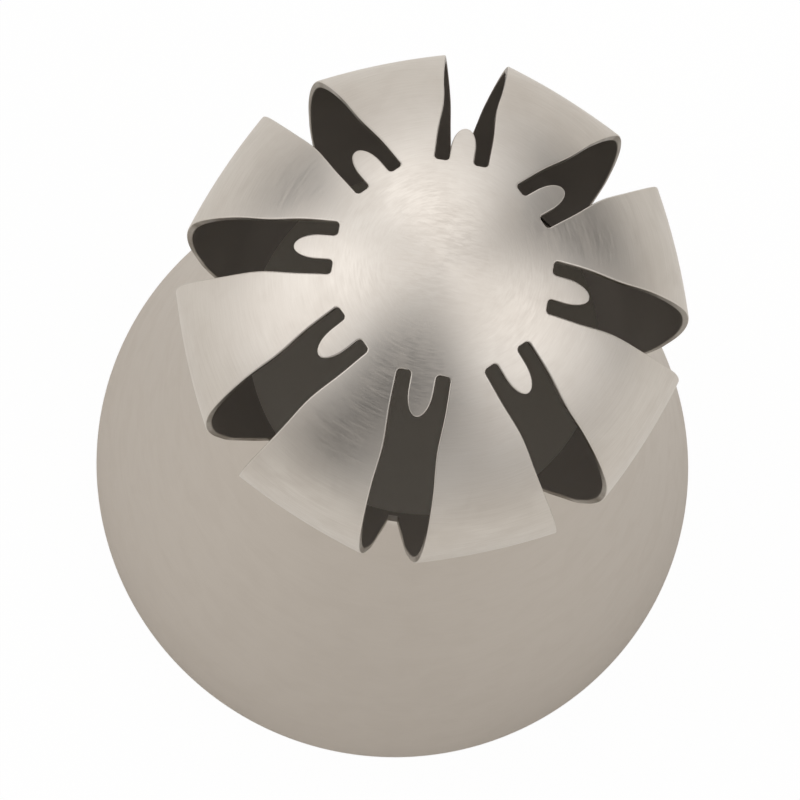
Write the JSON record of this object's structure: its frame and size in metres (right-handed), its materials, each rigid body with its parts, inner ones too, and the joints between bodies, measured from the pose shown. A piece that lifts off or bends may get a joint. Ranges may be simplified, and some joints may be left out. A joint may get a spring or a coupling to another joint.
{
  "type": "piping nozzle",
  "caption": "Ball piping nozzle: an open cone skirt for a piping bag, and a domed head of folded petals with forked slots between them.",
  "frame": {"origin": "centre of the open base, in the plane of its rim", "axes": "+Z along the nozzle's axis from the open base to the domed tip; +X through the middle of one slot"},
  "size_m": [0.035, 0.035, 0.052],
  "materials": {
    "stainless_sheet": "fine brushed satin, thin stainless sheet"
  },
  "bodies": {
    "root": {"petal_head": "stainless_sheet", "cone_skirt": "stainless_sheet"}
  },
  "joints": []
}
